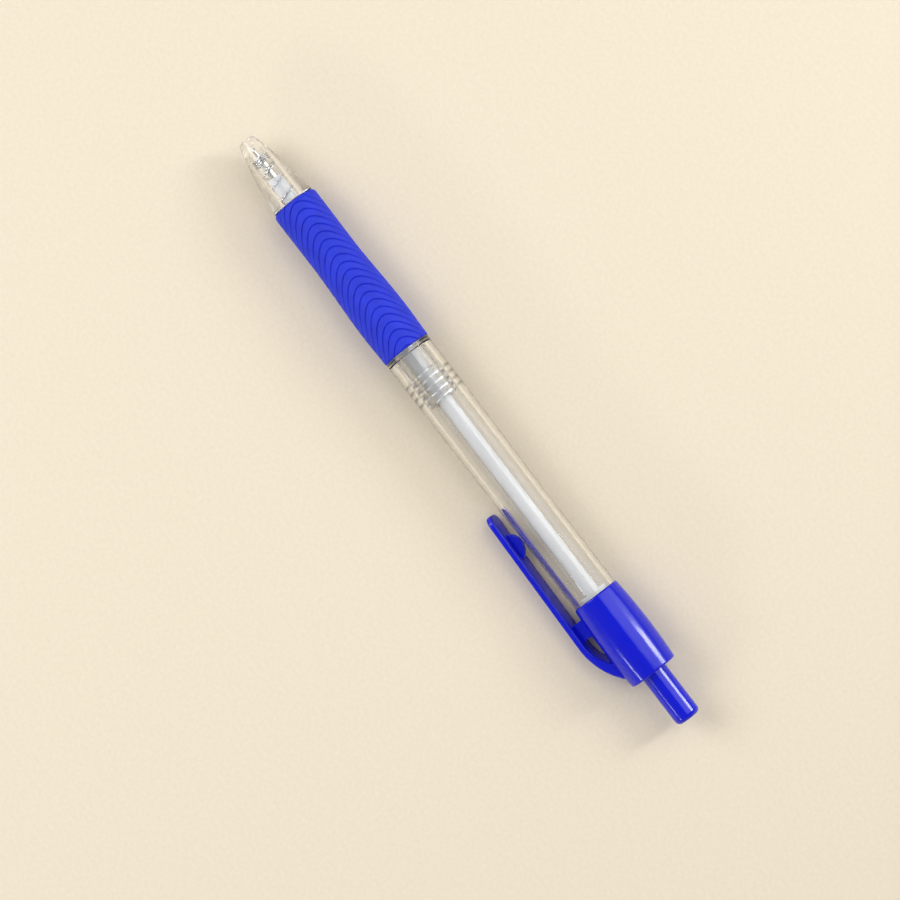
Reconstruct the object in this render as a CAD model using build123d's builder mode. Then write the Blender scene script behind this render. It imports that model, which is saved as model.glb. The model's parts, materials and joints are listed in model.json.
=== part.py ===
from build123d import *
import math
import os

# A retractable ballpoint pen lying on a table, rolled over until its clip meets the surface.
# Units are millimetres. The pen lies along X with its writing end at -X, and +Z is up.
# Stations run along the pen from the mouth of the nose, and radii from the pen's axis.
# The origin is under the middle of the pen, on the table.

# Outside lengths, in order from the mouth to the end of the button
nose_length = 15.35
grip_length = 36.55
flange_length = 1.0
barrel_length = 59.3
cap_length = 18.7
button_stand = 11.3

# Front barrel: the clear nose, the seat of the grip and the screwed stub
mouth_radius = 1.66
mouth_rounding = 0.3
mouth_bore_radius = 1.0
mouth_bore_length = 1.6
nose_radius = 4.5
nose_bulge = 0.38
spring_seat = 4.3
throat_cone_length = 1.2
grip_seat_radius = 3.8
flange_radius = 5.04
flange_rounding = 0.15
stub_length = 11.2
stub_chamfer = 0.3

# Grip sleeve and its waves of grooves, swept back at the sides of the pen
grip_front_radius = 4.86
grip_waist_radius = 4.81
grip_waist_place = 12.65
grip_swell_radius = 5.3
grip_swell_place = 29.15
grip_rear_radius = 5.15
grip_front_rounding = 0.95
grip_rear_rounding = 0.25
groove_pitch = 1.855
groove_first = 6.15
groove_sweep = 7.25
groove_width = 0.36
groove_depth = 0.25

# Rear barrel: a clear tube, necked down at the rear to enter the cap
barrel_front_radius = 5.0
barrel_rear_radius = 4.77
barrel_bore_radius = 3.7
barrel_taper_place = 9.0
barrel_taper_length = 30.0
spigot_radius = 4.25
spigot_length = 8.0

# Rounded screw thread between the two barrels
thread_pitch = 1.5
barrel_thread_turns = 4.5
stub_thread_turns = 3.75
thread_height = 0.3
thread_sink = 0.05
thread_neck = 5.1
thread_start_angle = 0.0

# Cap with its clip
cap_front_radius = 5.0
cap_swell_radius = 5.42
cap_swell_place = 9.8
cap_rear_radius = 5.1
cap_front_rounding = 0.35
cap_rear_rounding = 0.4
cap_end_wall = 1.2
clip_reach = 24.7
clip_width = 4.6
clip_thickness = 1.26
clip_tip_radius = 8.07
clip_knee_radius = 8.79
clip_knee_place = 6.4
clip_root_inset = 1.6
clip_inner_root_inset = 5.5
clip_corner_rounding = 1.8
clip_edge_rounding = 0.35
web_width = 1.1
web_place = 2.2
web_length = 4.4
web_hollow = 0.7
bump_front = 4.7
bump_peak = 7.6
bump_rear = 11.1
bump_gap = 0.4

# Push button and the turning cam that latches it
button_radius = 2.68
button_wall = 0.78
button_end_wall = 1.5
button_rounding = 1.0
slot_depth = 0.7
cam_count = 4
rib_angle = 40.0
lug_angle = 22.5
lug_rest_angle = -12.5
lug_length = 3.0
guide_length = 3.1
tooth_height = 0.9
tooth_half_width = 0.72
latch_travel = 4.6
rotor_lead = 0.9
rotor_collar_radius = 2.93
rotor_collar_length = 1.5
rotor_crown_depth = 2.5
socket_depth = 6.0

# Refill: ink tube, metal tip and ball
tip_setback = 1.9
ball_radius = 0.35
ball_stand = 0.2
nozzle_lip_radius = 0.4
nozzle_radius = 0.46
nozzle_length = 2.3
tip_cone_length = 1.5
tip_body_radius = 0.85
ink_duct_radius = 0.22
tube_front = 9.5
tube_radius = 1.5
tube_nose_chamfer = 0.35
tube_bore_radius = 0.95
shank_length = 4.0
collar_length = 1.0
ink_length = 78.0

# Return spring, wound close at both ends
wire_diameter = 0.38
spring_length = 23.7
spring_end_turns = 2
spring_open_turns = 8
spring_ramp_turns = 1
spring_end_pitch = 0.85
spring_start_angle = 90.0

# Clearances
grip_clearance = 0.02
spigot_clearance = 0.02
thread_clearance = 0.1
button_clearance = 0.07
rotor_clearance = 0.1
lug_clearance = 0.1
guide_clearance_angle = 1.0
cam_gap = 0.05
socket_clearance = 0.05
throat_clearance = 0.12
spring_clearance = 0.06
spring_seat_gap = 0.03
bore_clearance = 0.08
collar_clearance = 0.12
ball_clearance = 0.012
shank_clearance = 0.01
ink_clearance = 0.02

# Stations worked out from the lengths
grip_end = nose_length + grip_length
flange_end = grip_end + flange_length
stub_end = flange_end + stub_length
cap_front = flange_end + barrel_length
spigot_end = cap_front + spigot_length
cap_end = cap_front + cap_length
wall_face = cap_end - cap_end_wall
overall_length = cap_end + button_stand
guide_front = wall_face - guide_length
button_teeth = guide_front - tooth_height
rotor_teeth = button_teeth - cam_gap
rib_teeth = rotor_teeth - latch_travel
rotor_front = cap_front - rotor_lead
socket_end = rotor_front + socket_depth
tube_end = socket_end - socket_clearance
collar_front = spring_seat + spring_length
clip_tip = cap_front - clip_reach
clip_knee = cap_front + clip_knee_place
clip_split = cap_front + web_place
ball_centre = tip_setback + ball_radius
nozzle_front = tip_setback + ball_stand
nozzle_end = nozzle_front + nozzle_length
tip_cone_end = nozzle_end + tip_cone_length
shank_end = tube_front + shank_length

# Angles of the cam, with two teeth of each crown to a lug
slot_pitch_angle = 360 / cam_count
tooth_pitch_angle = slot_pitch_angle / 2
tooth_phase = lug_rest_angle + tooth_pitch_angle / 4
guide_angle = slot_pitch_angle - rib_angle - 2 * guide_clearance_angle

# Radii worked out from the fits
coil_radius = tube_radius + spring_clearance + wire_diameter / 2
spring_bore_radius = coil_radius + wire_diameter / 2 + bore_clearance
collar_radius = spring_bore_radius - collar_clearance
throat_radius = tube_radius + throat_clearance
stub_radius = barrel_bore_radius - thread_height - thread_clearance
thread_round = thread_height + thread_sink
rib_radius = button_radius + button_clearance
slot_radius = rib_radius + slot_depth
lug_radius = slot_radius - lug_clearance
rotor_radius = rib_radius - rotor_clearance
crown_radius = button_radius - button_wall
clip_slope = (clip_knee_radius - clip_tip_radius) / (clip_knee - clip_tip)

# The pen rests on the swell of the cap, and the clip's rounded lower edge comes down to the table
axis_height = cap_swell_radius
edge_reach = clip_knee_radius - clip_edge_rounding
edge_offset = clip_width / 2 - clip_edge_rounding
clip_angle = math.asin(
    (axis_height - clip_edge_rounding) / math.hypot(edge_reach, edge_offset)
) - math.atan2(edge_offset, edge_reach)
clip_span = (
    edge_reach * math.cos(clip_angle) + edge_offset * math.sin(clip_angle) + clip_edge_rounding
)
axis_side = (clip_span - cap_swell_radius) / 2
mouth_point = (-overall_length / 2, axis_side, axis_height)

# Sketches on the lengthwise plane are drawn as (station, radius)
lengthwise = Plane(origin=mouth_point, x_dir=(1, 0, 0), z_dir=(0, -1, 0))
levelwise = Plane(origin=mouth_point, x_dir=(1, 0, 0), z_dir=(0, 0, 1))
clipwise = Plane(
    origin=mouth_point, x_dir=(1, 0, 0), z_dir=(0, math.sin(clip_angle), -math.cos(clip_angle))
)
pen_axis = Axis(mouth_point, (1, 0, 0))


def across(station):
    """The plane square to the pen at a station, facing the button."""
    return Plane(origin=lengthwise.from_local_coords((station, 0, 0)), x_dir=(0, 1, 0), z_dir=(1, 0, 0))


def axis_point(station, radius, turn_angle):
    """A point at a station, turned about the pen's axis by an angle in degrees."""
    return across(station).from_local_coords(
        (radius * math.cos(math.radians(turn_angle)), radius * math.sin(math.radians(turn_angle)), 0)
    )


def biarc(start, start_way, end, end_way):
    """Two arcs that join two points and keep the direction given at each."""
    chord = end - start
    ways = start_way + end_way
    spread = 2 * (1 - start_way.dot(end_way))
    along_ways = chord.dot(ways)
    reach = (math.sqrt(along_ways**2 + spread * chord.dot(chord)) - along_ways) / spread
    first_corner = start + start_way * reach
    second_corner = end - end_way * reach
    joint = (first_corner + second_corner) / 2
    TangentArc(start, joint, tangent=start_way)
    TangentArc(joint, end, tangent=second_corner - first_corner)


def winding(start_station, start_angle, radius, pitches, end_run=0):
    """Adds a right-handed winding to the current line, a quarter turn for each step of pitch.

    The pitches are millimetres a turn at the ends of the quarter turns, and both ends of the
    winding run on straight for end_run.
    """
    points = []
    ways = []
    station = start_station
    for step, pitch in enumerate(pitches):
        if step:
            station += (pitches[step - 1] + pitch) / 2 / 4
        angle = start_angle + 90 * step
        points.append(axis_point(station, radius, angle))
        turning = axis_point(0, 1, angle + 90) - axis_point(0, 0, 0)
        ways.append((turning * (2 * math.pi * radius) + Vector(pitch, 0, 0)).normalized())
    if end_run:
        Line(points[0] - ways[0] * end_run, points[0])
    for step in range(len(points) - 1):
        biarc(points[step], ways[step], points[step + 1], ways[step + 1])
    if end_run:
        Line(points[-1], points[-1] + ways[-1] * end_run)


def least_gap(path, thickness, steps):
    """The least gap of a winding to itself, between points that lie half a turn or more apart."""
    route = Wire(path.edges())
    places = [tuple(route @ (step / steps)) for step in range(steps + 1)]
    half_turn = 12
    spans = [
        math.dist(place, other)
        for step, place in enumerate(places)
        for other in places[step + half_turn :]
    ]
    return min(spans) - thickness


def thread_ridge(station, radius, turns):
    """One rounded ridge of the screw thread, wound at a radius from a station on."""
    quarter_turns = round(4 * turns)
    with BuildPart() as ridge:
        with BuildLine() as path:
            winding(station, thread_start_angle, radius, [thread_pitch] * (quarter_turns + 1))
        with BuildSketch(Plane(origin=path.line @ 0, z_dir=path.line % 0)):
            Circle(thread_round)
        sweep(path=path.line)
    return ridge.part


def corner(section, point):
    """The corner of a section that lies nearest to a point."""
    return section.vertices().sort_by_distance(point)[0]


def sectors(inner_radius, outer_radius, angle, centre_angle):
    """Ring sectors on the current sketch, one for each lug of the cam."""
    with BuildSketch(mode=Mode.PRIVATE) as sector:
        with BuildLine():
            outer = CenterArc((0, 0), outer_radius, -angle / 2, angle)
            inner = CenterArc((0, 0), inner_radius, -angle / 2, angle)
            Line(inner @ 0, outer @ 0)
            Line(inner @ 1, outer @ 1)
        make_face()
    with PolarLocations(0, cam_count, start_angle=centre_angle):
        add(sector.sketch)


def tooth_planes(station, valley_angle):
    """Planes along the valleys of a crown of pointed teeth, each crossing the whole pen."""
    radials = [
        axis_point(0, 1, valley_angle + tooth_pitch_angle * valley) - axis_point(0, 0, 0)
        for valley in range(cam_count)
    ]
    tip_point = lengthwise.from_local_coords((station, 0, 0))
    return [Plane(origin=tip_point, x_dir=(1, 0, 0), z_dir=radial) for radial in radials]


def tooth_valley(depth):
    """Outline of one valley between pointed teeth, as deep as given along the pen."""
    return Polygon((0, -tooth_half_width), (depth, 0), (0, tooth_half_width), align=None)


def is_clip_rim(edge):
    """Whether an edge of the clip's side lies outside the cap and behind the round corners of the tip."""
    middle = clipwise.to_local_coords(edge @ 0.5)
    return middle.Y > cap_swell_radius and middle.X > clip_tip + clip_corner_rounding + clip_edge_rounding


def grip_section(outer_offset, inner_radius, front_rounding, rear_rounding):
    """The grip's half section, with its outside moved out or in and its ends rounded."""
    outline = (
        (nose_length, grip_front_radius + outer_offset),
        (nose_length + grip_waist_place, grip_waist_radius + outer_offset),
        (nose_length + grip_swell_place, grip_swell_radius + outer_offset),
        (grip_end, grip_rear_radius + outer_offset),
    )
    with BuildSketch() as section:
        with BuildLine():
            for start, end in zip(outline, outline[1:]):
                Spline(start, end, tangents=((1, 0), (1, 0)))
            Polyline(outline[0], (nose_length, inner_radius), (grip_end, inner_radius), outline[-1])
        make_face()
        fillet(corner(section, outline[0]), front_rounding)
        fillet(corner(section, outline[-1]), rear_rounding)
    return section.sketch


os.makedirs("parts", exist_ok=True)

# Front barrel: clear nose, grip seat, flange and screwed stub in one moulding
stub_thread = thread_ridge(flange_end + thread_neck, stub_radius - thread_sink, stub_thread_turns)
with BuildPart() as front_barrel:
    with BuildSketch(lengthwise) as front_section:
        with BuildLine():
            SagittaArc((0, mouth_radius), (nose_length, nose_radius), nose_bulge)
            Polyline(
                (nose_length, nose_radius),
                (nose_length, grip_seat_radius),
                (grip_end, grip_seat_radius),
                (grip_end, flange_radius),
                (flange_end, flange_radius),
                (flange_end, stub_radius),
                (stub_end, stub_radius),
                (stub_end, spring_bore_radius),
                (spring_seat, spring_bore_radius),
                (spring_seat, throat_radius),
                (mouth_bore_length + throat_cone_length, throat_radius),
                (mouth_bore_length, mouth_bore_radius),
                (0, mouth_bore_radius),
                (0, mouth_radius),
            )
        make_face()
        fillet(corner(front_section, (0, mouth_radius)), mouth_rounding)
        fillet(corner(front_section, (grip_end, flange_radius)), flange_rounding)
        fillet(corner(front_section, (flange_end, flange_radius)), flange_rounding)
        chamfer(corner(front_section, (stub_end, stub_radius)), stub_chamfer)
    revolve(axis=pen_axis)
    add(stub_thread)
front_barrel.part.label = "front_barrel"
export_step(front_barrel.part, "parts/front_barrel.step")

# Grooves of the grip: waves that are parabolas seen from above, cut straight down
groove_span = grip_swell_radius + groove_depth
groove_count = math.floor((grip_length + groove_sweep - groove_first) / groove_pitch) + 1
groove_floor = grip_section(-groove_depth, 0, grip_front_rounding, grip_rear_rounding)
with BuildPart() as grip_grooves:
    with BuildSketch(levelwise):
        for wave in range(groove_count):
            vertex = nose_length + groove_first - groove_sweep + groove_pitch * wave
            with BuildLine():
                sides = [
                    Bezier(
                        (place + groove_sweep, -groove_span),
                        (place - groove_sweep, 0),
                        (place + groove_sweep, groove_span),
                    )
                    for place in (vertex, vertex + groove_width)
                ]
                Line(sides[0] @ 0, sides[1] @ 0)
                Line(sides[0] @ 1, sides[1] @ 1)
            make_face()
    extrude(amount=groove_span, both=True)
    with BuildSketch(lengthwise):
        add(groove_floor)
    revolve(axis=pen_axis, mode=Mode.SUBTRACT)

# Grip sleeve: rubber tube with a waist, a swell and waves of grooves
grip_wall = grip_section(
    0, grip_seat_radius + grip_clearance, grip_front_rounding, grip_rear_rounding
)
with BuildPart() as grip_sleeve:
    with BuildSketch(lengthwise):
        add(grip_wall)
    revolve(axis=pen_axis)
    add(grip_grooves.part, mode=Mode.SUBTRACT)
grip_sleeve.part.label = "grip_sleeve"
export_step(grip_sleeve.part, "parts/grip_sleeve.step")

# Rear barrel: clear tube with a screw thread inside its front and a spigot at its rear
barrel_thread = thread_ridge(
    flange_end + thread_neck - thread_pitch / 2, barrel_bore_radius + thread_sink, barrel_thread_turns
)
taper_start = flange_end + barrel_taper_place
taper_end = taper_start + barrel_taper_length
with BuildPart() as rear_barrel:
    with BuildSketch(lengthwise) as barrel_section:
        with BuildLine():
            Line((flange_end, barrel_front_radius), (taper_start, barrel_front_radius))
            Spline(
                (taper_start, barrel_front_radius),
                (taper_end, barrel_rear_radius),
                tangents=((1, 0), (1, 0)),
            )
            Polyline(
                (taper_end, barrel_rear_radius),
                (cap_front, barrel_rear_radius),
                (cap_front, spigot_radius),
                (spigot_end, spigot_radius),
                (spigot_end, barrel_bore_radius),
                (flange_end, barrel_bore_radius),
                (flange_end, barrel_front_radius),
            )
        make_face()
        fillet(corner(barrel_section, (flange_end, barrel_front_radius)), flange_rounding)
    revolve(axis=pen_axis)
    add(barrel_thread)
rear_barrel.part.label = "rear_barrel"
export_step(rear_barrel.part, "parts/rear_barrel.step")

# Clip blank: the whole leaf from its tip to its root in the cap's wall, before it is divided
knee = (clip_knee, clip_knee_radius)
inner_knee = (clip_knee, clip_knee_radius - clip_thickness)
clip_end = (clip_tip, clip_tip_radius)
inner_clip_end = (clip_tip, clip_tip_radius - clip_thickness)
root_radius = (cap_rear_radius + slot_radius) / 2
root_point = (cap_end - clip_root_inset, root_radius)
inner_root_point = (cap_end - clip_inner_root_inset, root_radius)
with BuildPart() as clip_blank:
    with BuildSketch(clipwise):
        with BuildLine():
            Line(clip_end, knee)
            TangentArc(knee, root_point, tangent=(1, clip_slope))
            Line(root_point, inner_root_point)
            TangentArc(inner_knee, inner_root_point, tangent=(1, clip_slope))
            Polyline(inner_knee, inner_clip_end, clip_end)
        make_face()
    extrude(amount=clip_width / 2, both=True)
    fillet(clip_blank.faces().sort_by(Axis.X)[0].edges().sort_by(SortBy.LENGTH)[:2], clip_corner_rounding)
    sides = clip_blank.faces().sort_by(Axis((0, 0, 0), clipwise.z_dir))
    rims = sides[0].edges() + sides[-1].edges()
    fillet(rims.filter_by(is_clip_rim), clip_edge_rounding)

# Clip arm: the free leaf of the clip, with a bump that holds what the pen is clipped to
bump_top = barrel_rear_radius + bump_gap
arm_inside = clip_tip_radius - clip_thickness / 2
with BuildPart() as clip_arm:
    add(clip_blank.part)
    split(bisect_by=across(clip_split), keep=Keep.BOTTOM)
    with BuildSketch(clipwise):
        with BuildLine():
            Spline(
                (clip_tip + bump_front, arm_inside),
                (clip_tip + bump_peak, bump_top),
                tangents=((0, -1), (1, 0)),
            )
            Polyline(
                (clip_tip + bump_peak, bump_top),
                (clip_tip + bump_rear, arm_inside),
                (clip_tip + bump_front, arm_inside),
            )
        make_face()
    extrude(amount=web_width / 2, both=True)
clip_arm.part.label = "clip_arm"
export_step(clip_arm.part, "parts/clip_arm.step")

# Clip cap: blue shell on the barrel's spigot, with the clip's root, its web and the cam's ribs
swell = (cap_front + cap_swell_place, cap_swell_radius)
spigot_bore = spigot_radius + spigot_clearance
web_foot = (cap_front_radius + spigot_bore) / 2
web_head = clip_knee_radius - clip_thickness / 2
with BuildPart() as clip_cap:
    with BuildSketch(lengthwise) as cap_section:
        with BuildLine():
            TangentArc(swell, (cap_front, cap_front_radius), tangent=(-1, 0))
            TangentArc(swell, (cap_end, cap_rear_radius), tangent=(1, 0))
            Polyline(
                (cap_end, cap_rear_radius),
                (cap_end, rib_radius),
                (wall_face, rib_radius),
                (wall_face, slot_radius),
                (spigot_end, slot_radius),
                (spigot_end, spigot_bore),
                (cap_front, spigot_bore),
                (cap_front, cap_front_radius),
            )
        make_face()
        fillet(corner(cap_section, (cap_front, cap_front_radius)), cap_front_rounding)
        fillet(corner(cap_section, (cap_end, cap_rear_radius)), cap_rear_rounding)
    revolve(axis=pen_axis)
    with BuildSketch(across(rib_teeth)):
        sectors(rib_radius, (slot_radius + cap_rear_radius) / 2, rib_angle, slot_pitch_angle / 2)
    extrude(amount=wall_face - rib_teeth)
    with BuildSketch(*tooth_planes(rib_teeth, slot_pitch_angle / 2)):
        tooth_valley(tooth_height)
    extrude(amount=slot_radius, both=True, mode=Mode.SUBTRACT)
    with BuildSketch(clipwise):
        with BuildLine():
            SagittaArc(
                (clip_split + web_length, web_head), (clip_split + web_length, web_foot), -web_hollow
            )
            Polyline(
                (clip_split + web_length, web_foot),
                (clip_split, web_foot),
                (clip_split, web_head),
                (clip_split + web_length, web_head),
            )
        make_face()
    extrude(amount=web_width / 2, both=True)
    add(split(clip_blank.part, bisect_by=across(clip_split), keep=Keep.TOP, mode=Mode.PRIVATE))
clip_cap.part.label = "clip_cap"
export_step(clip_cap.part, "parts/clip_cap.step")

# Push button: hollow plunger with guide lugs in the cap's slots and a crown of teeth
with BuildPart() as push_button:
    with BuildSketch(lengthwise) as button_section:
        with BuildLine():
            Polyline(
                (button_teeth, crown_radius),
                (button_teeth, button_radius),
                (overall_length, button_radius),
                (overall_length, 0),
                (overall_length - button_end_wall, 0),
                (overall_length - button_end_wall, crown_radius),
                close=True,
            )
        make_face()
        fillet(corner(button_section, (overall_length, button_radius)), button_rounding)
    revolve(axis=pen_axis)
    with BuildSketch(across(guide_front)):
        sectors((crown_radius + button_radius) / 2, lug_radius, guide_angle, 0)
    extrude(amount=guide_length)
    with BuildSketch(*tooth_planes(button_teeth, tooth_phase)):
        tooth_valley(tooth_height)
    extrude(amount=slot_radius, both=True, mode=Mode.SUBTRACT)
push_button.part.label = "push_button"
export_step(push_button.part, "parts/push_button.step")

# Cam rotor: holds the refill's rear end, and its lugs ride in the slots or latch on the ribs
lug_front = rotor_teeth - tooth_height - lug_length
with BuildPart() as cam_rotor:
    with BuildSketch(lengthwise):
        with BuildLine():
            Polyline(
                (rotor_front, tube_radius + socket_clearance),
                (rotor_front, rotor_collar_radius),
                (rotor_front + rotor_collar_length, rotor_collar_radius),
                (rotor_front + rotor_collar_length, rotor_radius),
                (rotor_teeth, rotor_radius),
                (rotor_teeth, crown_radius),
                (rotor_teeth - rotor_crown_depth, crown_radius),
                (rotor_teeth - rotor_crown_depth, 0),
                (socket_end, 0),
                (socket_end, tube_radius + socket_clearance),
                close=True,
            )
        make_face()
    revolve(axis=pen_axis)
    with BuildSketch(across(lug_front)):
        sectors((crown_radius + rotor_radius) / 2, lug_radius, lug_angle, lug_rest_angle)
    extrude(amount=rotor_teeth - lug_front)
    with BuildSketch(*tooth_planes(rotor_teeth, tooth_phase)):
        tooth_valley(-tooth_height)
    extrude(amount=slot_radius, both=True, mode=Mode.SUBTRACT)
cam_rotor.part.label = "cam_rotor"
export_step(cam_rotor.part, "parts/cam_rotor.step")

# Refill tube: white plastic, with a collar that the spring pushes on
with BuildPart() as refill_tube:
    with BuildSketch(lengthwise) as tube_section:
        with BuildLine():
            Polyline(
                (tube_front, tube_bore_radius),
                (tube_front, tube_radius),
                (collar_front, tube_radius),
                (collar_front, collar_radius),
                (collar_front + collar_length, collar_radius),
                (collar_front + collar_length, tube_radius),
                (tube_end, tube_radius),
                (tube_end, tube_bore_radius),
                close=True,
            )
        make_face()
        chamfer(corner(tube_section, (tube_front, tube_radius)), tube_nose_chamfer)
    revolve(axis=pen_axis)
refill_tube.part.label = "refill_tube"
export_step(refill_tube.part, "parts/refill_tube.step")

# Writing tip: metal nozzle with the ball's socket, and a shank pressed into the tube
socket_radius = ball_radius + ball_clearance
lip_point = (nozzle_front, math.sqrt(socket_radius**2 - (ball_centre - nozzle_front) ** 2))
duct_point = (ball_centre + math.sqrt(socket_radius**2 - ink_duct_radius**2), ink_duct_radius)
with BuildPart() as writing_tip:
    with BuildSketch(lengthwise):
        with BuildLine():
            ThreePointArc(duct_point, (ball_centre, socket_radius), lip_point)
            Polyline(
                lip_point,
                (nozzle_front, nozzle_lip_radius),
                (nozzle_end, nozzle_radius),
                (tip_cone_end, tip_body_radius),
                (tube_front, tip_body_radius),
                (tube_front, tube_bore_radius - shank_clearance),
                (shank_end, tube_bore_radius - shank_clearance),
                (shank_end, ink_duct_radius),
                duct_point,
            )
        make_face()
    revolve(axis=pen_axis)
writing_tip.part.label = "writing_tip"
export_step(writing_tip.part, "parts/writing_tip.step")

# Writing ball: free to roll in its socket
with BuildPart() as writing_ball:
    with Locations(lengthwise.from_local_coords((ball_centre, 0, 0))):
        Sphere(ball_radius)
writing_ball.part.label = "writing_ball"
export_step(writing_ball.part, "parts/writing_ball.step")

# Ink: fills the tube behind the tip, and the duct up to the ball
with BuildPart() as ink_column:
    with BuildSketch(lengthwise):
        with BuildLine():
            Polyline(
                (ball_centre + ball_radius + ink_clearance, 0),
                (ball_centre + ball_radius + ink_clearance, ink_duct_radius - ink_clearance),
                (shank_end + ink_clearance, ink_duct_radius - ink_clearance),
                (shank_end + ink_clearance, tube_bore_radius - ink_clearance),
                (shank_end + ink_length, tube_bore_radius - ink_clearance),
                (shank_end + ink_length, 0),
                close=True,
            )
        make_face()
    revolve(axis=pen_axis)
ink_column.part.label = "ink_column"
export_step(ink_column.part, "parts/ink_column.step")

# Return spring: one wire from the nose's seat to the refill's collar
spring_turns = 2 * spring_end_turns + spring_open_turns
spring_end_slope = spring_end_pitch / math.hypot(spring_end_pitch, 2 * math.pi * coil_radius)
spring_start = spring_seat + spring_seat_gap + wire_diameter * (0.5 + spring_end_slope)
spring_rise = spring_length - 2 * (spring_start - spring_seat)
spring_open_pitch = spring_end_pitch + (spring_rise - spring_end_pitch * spring_turns) / (
    spring_open_turns - spring_ramp_turns
)


def spring_pitch(turn):
    """Pitch of the spring at a turn: close at both ends, opening and closing evenly."""
    from_end = min(turn, spring_turns - turn) - spring_end_turns
    opening = min(max(from_end / spring_ramp_turns, 0), 1)
    return spring_end_pitch + (spring_open_pitch - spring_end_pitch) * opening


spring_pitches = [spring_pitch(quarter / 4) for quarter in range(4 * spring_turns + 1)]
with BuildPart() as return_spring:
    with BuildLine() as spring_path:
        winding(spring_start, spring_start_angle, coil_radius, spring_pitches, wire_diameter)
    with BuildSketch(Plane(origin=spring_path.line @ 0, z_dir=spring_path.line % 0)):
        Circle(wire_diameter / 2)
    sweep(path=spring_path.line)
return_spring.part.label = "return_spring"
export_step(return_spring.part, "parts/return_spring.step")
spring_gap = least_gap(spring_path.line, wire_diameter, 24 * spring_turns)
print(f"return_spring least gap to itself {spring_gap:.3f} mm")
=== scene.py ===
import json
import math

import bmesh
import bpy
from bpy.props import FloatProperty, FloatVectorProperty, IntProperty, PointerProperty
from mathutils import Matrix, Vector


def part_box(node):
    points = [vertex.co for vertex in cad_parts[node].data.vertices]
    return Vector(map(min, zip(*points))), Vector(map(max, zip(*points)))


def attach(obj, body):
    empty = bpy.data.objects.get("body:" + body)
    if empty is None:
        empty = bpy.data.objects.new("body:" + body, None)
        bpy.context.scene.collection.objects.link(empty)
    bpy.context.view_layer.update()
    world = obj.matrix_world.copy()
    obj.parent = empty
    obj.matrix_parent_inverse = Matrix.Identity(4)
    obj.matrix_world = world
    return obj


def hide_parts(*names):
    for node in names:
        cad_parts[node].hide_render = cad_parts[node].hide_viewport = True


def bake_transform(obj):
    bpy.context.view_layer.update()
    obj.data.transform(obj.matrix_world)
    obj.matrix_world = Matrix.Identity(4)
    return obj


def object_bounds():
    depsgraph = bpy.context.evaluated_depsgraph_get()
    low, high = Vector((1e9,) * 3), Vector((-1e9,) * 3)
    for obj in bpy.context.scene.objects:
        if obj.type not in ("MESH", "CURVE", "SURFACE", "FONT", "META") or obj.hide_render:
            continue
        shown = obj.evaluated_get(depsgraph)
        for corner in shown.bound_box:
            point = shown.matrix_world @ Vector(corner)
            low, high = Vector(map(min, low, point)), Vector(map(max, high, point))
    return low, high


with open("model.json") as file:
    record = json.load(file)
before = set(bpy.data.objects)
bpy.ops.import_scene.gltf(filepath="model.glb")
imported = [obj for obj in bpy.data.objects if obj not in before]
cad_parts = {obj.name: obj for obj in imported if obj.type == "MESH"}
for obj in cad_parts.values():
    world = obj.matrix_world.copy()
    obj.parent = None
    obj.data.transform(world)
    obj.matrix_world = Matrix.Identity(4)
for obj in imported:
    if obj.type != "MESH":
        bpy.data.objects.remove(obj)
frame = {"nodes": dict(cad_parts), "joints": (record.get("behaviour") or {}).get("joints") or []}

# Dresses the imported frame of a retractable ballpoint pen.
# Everything is in metres in the frame's own axes: the pen lies along X, its mouth at the low end.
# Stations run along the pen from the mouth, and radii from the pen's axis.

bl_info = {
    "name": "Retractable Pen",
    "version": (1, 0, 0),
    "blender": (4, 5, 0),
    "location": "3D View > Sidebar > Pen",
    "description": "Dresses the frame of a clear pen with a rubber grip, a clip and a push button",
    "category": "Object",
}

MM = 0.001
MERGE_DISTANCE = 1e-7
SHARP_ANGLE = math.radians(38)

# Places that the frame gives
cad_low, cad_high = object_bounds()
barrel_low, barrel_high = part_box("rear_barrel")
axis_point = (barrel_low + barrel_high) / 2


def stations(node):
    """First and last station of a CAD node."""
    low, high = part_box(node)
    return low.x - cad_low.x, high.x - cad_low.x


def girth(node):
    """Largest radius of a CAD node that is turned about the pen's axis."""
    low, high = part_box(node)
    return (high.z - low.z) / 2


def joint_axis(name):
    """Axis of a joint of the frame."""
    return Vector(next(joint["axis"] for joint in frame["joints"] if joint["name"] == name))


clip_side = joint_axis("clip_flex")
clip_way = Vector((0, -clip_side.z, clip_side.y))

mouth, stub_end = stations("front_barrel")
grip_front, grip_end = stations("grip_sleeve")
flange_end, spigot_end = stations("rear_barrel")
cap_front = stations("clip_cap")[0]
clip_tip, clip_split = stations("clip_arm")
tube_front, tube_end = stations("refill_tube")
nozzle_front, shank_end = stations("writing_tip")
spring_front, spring_end = stations("return_spring")

# Clear front barrel
MOUTH_RADIUS = 1.66 * MM
MOUTH_ROUNDING = 0.3 * MM
MOUTH_BORE_RADIUS = 1.0 * MM
MOUTH_BORE_LENGTH = 1.6 * MM
NOSE_RADIUS = 4.5 * MM
NOSE_BULGE = 0.38 * MM
NOSE_STEPS = 40
THROAT_RADIUS = 1.62 * MM
THROAT_CONE_LENGTH = 1.2 * MM
SPRING_SEAT = 4.3 * MM
SPRING_BORE_RADIUS = 2.02 * MM
NOSE_REAR_ROUNDING = 0.3 * MM
GRIP_SEAT_RADIUS = 3.8 * MM
STUB_RADIUS = 3.3 * MM
STUB_CHAMFER = 0.3 * MM
MATT_BORE_DEPTH = 0.1 * MM
MATT_BORE_ROUGHNESS = 0.35
EDGE_ROUNDING = 0.15 * MM

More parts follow.
